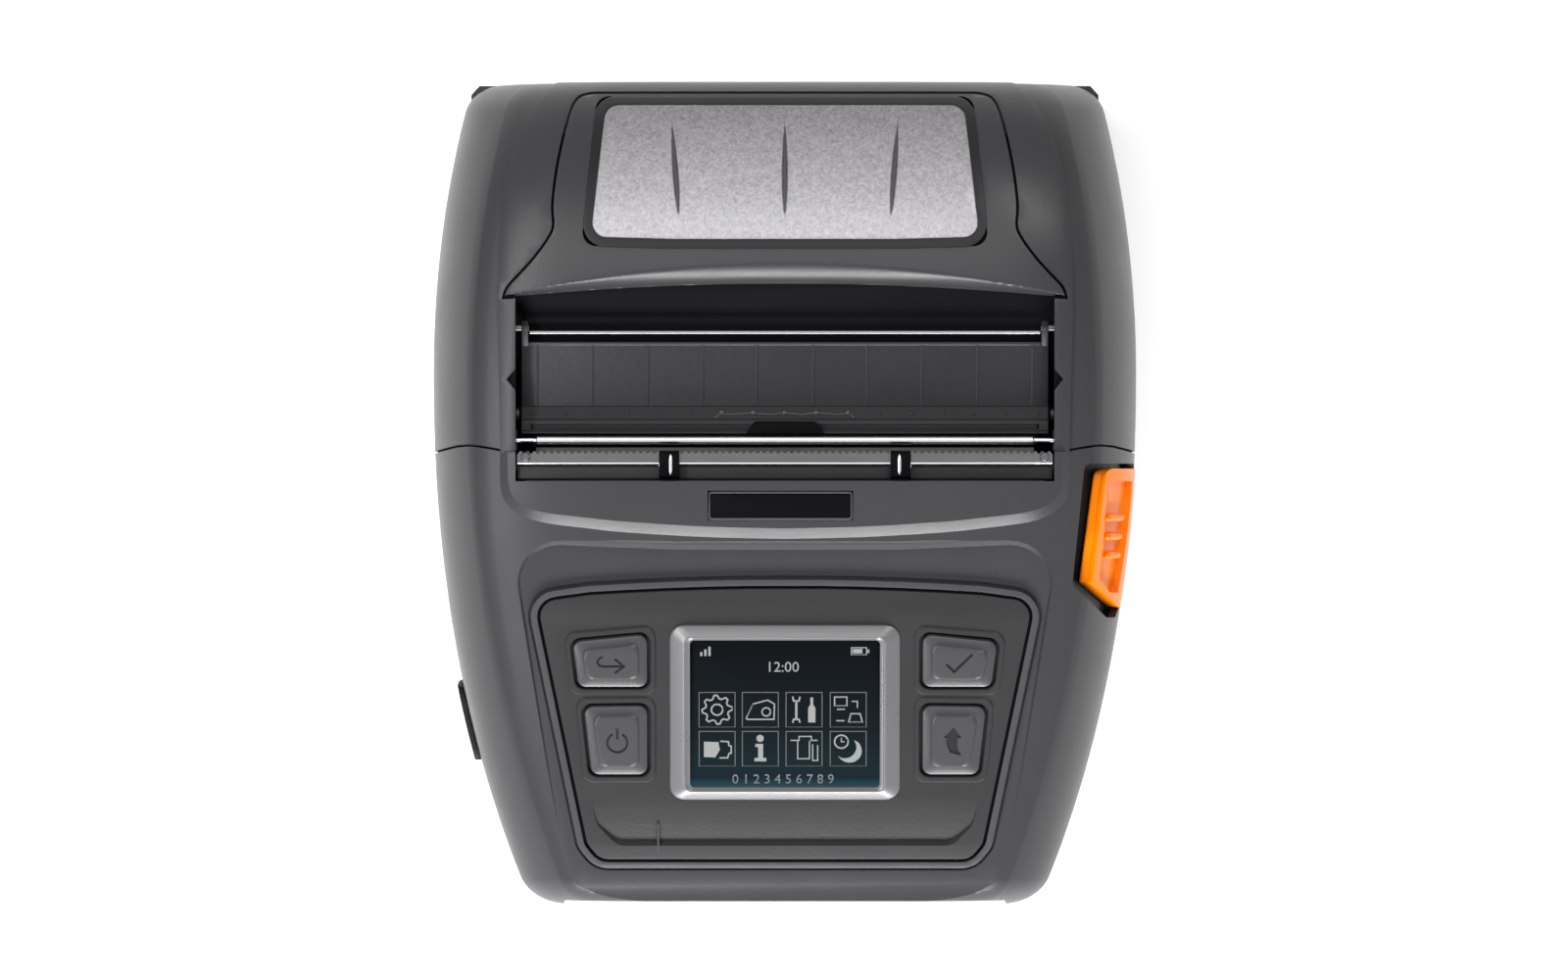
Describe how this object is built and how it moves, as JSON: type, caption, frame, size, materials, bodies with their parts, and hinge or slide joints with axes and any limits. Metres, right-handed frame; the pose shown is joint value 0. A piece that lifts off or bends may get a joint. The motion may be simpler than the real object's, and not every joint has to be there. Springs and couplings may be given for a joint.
{
  "type": "portable barcode printer",
  "caption": "Battery label printer with a hinged media cover, smoked window, ribbed peeler door, tear bar, sloped button panel with display and an orange release key.",
  "frame": {"origin": "centre of the base of the bounding box, on the plane of the feet with the printer lying on its back", "axes": "+Z out of the front, +Y towards the media roll and cover hinge, +X towards the release key"},
  "size_m": [0.1554, 0.1819, 0.077],
  "materials": {
    "shell": "fine grained, matte",
    "black_plastic": "grained black",
    "panel_plastic": "fine grained, matte",
    "window": "smoked and frosted",
    "screen": "dark gloss",
    "rubber": "matte",
    "steel": "brushed",
    "bright_bar": "polished",
    "gear_plastic": "moulded",
    "circuit_board": "solder mask",
    "ceramic": "glazed",
    "aluminium": "extruded",
    "contact": "plated",
    "key_orange": "glossy"
  },
  "bodies": {
    "casing": {"rear_shell": "shell", "front_shell": "shell", "hinge_pins": "steel", "tear_bar": "steel", "tear_bar_screws": "steel", "tear_bar_clips": "black_plastic", "badge_plate": "black_plastic", "button_panel": "panel_plastic", "display_bezel": "panel_plastic", "display_lens": "screen", "lcd_module": "screen", "keypad_board": "circuit_board", "main_board": "circuit_board", "port_block": "steel", "mech_frame": "steel", "head_springs": "steel", "key_spring": "steel", "drive_motor": "steel", "idler_pin": "steel", "media_tray": "black_plastic", "sensor_bar": "black_plastic", "battery_pack": "black_plastic", "battery_contacts": "contact", "clip_pin": "steel", "strap_lugs": "black_plastic", "strap_bars": "steel", "shell_screws": "steel", "rubber_feet": "rubber"},
    "cover": {"media_cover": "shell", "window_seal": "black_plastic", "window_lens": "window", "cover_liner": "black_plastic", "peel_bar": "bright_bar", "platen_bushes": "steel"},
    "platen": {"platen_shaft": "steel", "platen_roller": "rubber", "platen_gear": "gear_plastic"},
    "peeler": {"peeler_door": "black_plastic", "peeler_pins": "steel"},
    "peel_roller": {"peel_roller": "rubber"},
    "idler": {"idler_gear": "gear_plastic"},
    "motor_rotor": {"motor_pinion": "gear_plastic"},
    "head": {"printhead": "ceramic", "head_heatsink": "aluminium"},
    "latch": {"latch_shaft": "steel"},
    "key": {"release_key": "key_orange"},
    "button_back": {"button_back": "panel_plastic"},
    "button_power": {"button_power": "panel_plastic"},
    "button_ok": {"button_ok": "panel_plastic"},
    "button_feed": {"button_feed": "panel_plastic"},
    "port_flap": {"port_cover": "rubber"},
    "guide_left": {"guide_left": "black_plastic"},
    "guide_right": {"guide_right": "black_plastic"},
    "guide_pinion": {"guide_pinion": "gear_plastic"},
    "battery_latch": {"battery_latch": "black_plastic"},
    "belt_clip": {"belt_clip": "black_plastic"}
  },
  "joints": [
    {"name": "cover_hinge", "type": "hinge", "parent": "casing", "child": "cover", "pos_m": [0, 0.086, 0.034], "axis": [-1, 0, 0], "range_deg": [0, 85]},
    {"name": "platen_spin", "type": "hinge", "parent": "cover", "child": "platen", "pos_m": [0, 0.0176, 0.055], "axis": [1, 0, 0], "continuous": true},
    {"name": "peeler_hinge", "type": "hinge", "parent": "cover", "child": "peeler", "pos_m": [0, 0.0365, 0.0686], "axis": [-1, 0, 0], "range_deg": [0, 80]},
    {"name": "peel_roller_spin", "type": "hinge", "parent": "peeler", "child": "peel_roller", "pos_m": [0, 0.0149, 0.064], "axis": [1, 0, 0], "continuous": true},
    {"name": "idler_spin", "type": "hinge", "parent": "casing", "child": "idler", "pos_m": [0, 0.0117, 0.03579], "axis": [1, 0, 0], "continuous": true},
    {"name": "motor_spin", "type": "hinge", "parent": "casing", "child": "motor_rotor", "pos_m": [0, -0.008, 0.03179], "axis": [1, 0, 0], "continuous": true},
    {"name": "head_rock", "type": "hinge", "parent": "casing", "child": "head", "pos_m": [0, 0.007, 0.043], "axis": [1, 0, 0], "range_deg": [0, 1.5], "stiffness_Nm_per_rad": 0.6},
    {"name": "key_press", "type": "slide", "parent": "casing", "child": "key", "axis": [-1, 0, 0], "range_m": [0, 0.0025], "stiffness_N_per_m": 600, "deforming": ["key_spring"]},
    {"name": "latch_turn", "type": "hinge", "parent": "casing", "child": "latch", "pos_m": [0, 0.0072, 0.038], "axis": [1, 0, 0], "range_deg": [0, 14]},
    {"name": "port_flap_hinge", "type": "hinge", "parent": "casing", "child": "port_flap", "pos_m": [-0.07268, -0.0421, 0.017], "axis": [0, 0, -1], "range_deg": [0, 100]},
    {"name": "guide_left_slide", "type": "slide", "parent": "casing", "child": "guide_left", "axis": [1, 0, 0], "range_m": [0, 0.028]},
    {"name": "guide_right_slide", "type": "slide", "parent": "casing", "child": "guide_right", "axis": [-1, 0, 0], "range_m": [0, 0.028]},
    {"name": "guide_pinion_spin", "type": "hinge", "parent": "casing", "child": "guide_pinion", "pos_m": [0, 0.022, 0.009], "axis": [0, 0, -1], "range_deg": [0, 402]},
    {"name": "battery_latch_slide", "type": "slide", "parent": "casing", "child": "battery_latch", "axis": [0, 1, 0], "range_m": [0, 0.003], "stiffness_N_per_m": 300},
    {"name": "belt_clip_hinge", "type": "hinge", "parent": "casing", "child": "belt_clip", "pos_m": [0, 0.073, 0.0028], "axis": [1, 0, 0], "range_deg": [0, 12], "stiffness_Nm_per_rad": 0.5},
    {"name": "button_back_press", "type": "slide", "parent": "casing", "child": "button_back", "axis": [0, 0.2588, -0.9659], "range_m": [0, 0.0008], "stiffness_N_per_m": 400},
    {"name": "button_power_press", "type": "slide", "parent": "casing", "child": "button_power", "axis": [0, 0.2588, -0.9659], "range_m": [0, 0.0008], "stiffness_N_per_m": 400},
    {"name": "button_ok_press", "type": "slide", "parent": "casing", "child": "button_ok", "axis": [0, 0.2588, -0.9659], "range_m": [0, 0.0008], "stiffness_N_per_m": 400},
    {"name": "button_feed_press", "type": "slide", "parent": "casing", "child": "button_feed", "axis": [0, 0.2588, -0.9659], "range_m": [0, 0.0008], "stiffness_N_per_m": 400}
  ],
  "couplings": [
    {"joint": "idler_spin", "follows": "platen_spin", "ratio": -0.5625},
    {"joint": "motor_spin", "follows": "platen_spin", "ratio": 1},
    {"joint": "latch_turn", "follows": "key_press", "rad_per_m": 97.7},
    {"joint": "guide_right_slide", "follows": "guide_left_slide", "ratio": 1},
    {"joint": "guide_pinion_spin", "follows": "guide_left_slide", "rad_per_m": 250}
  ]
}
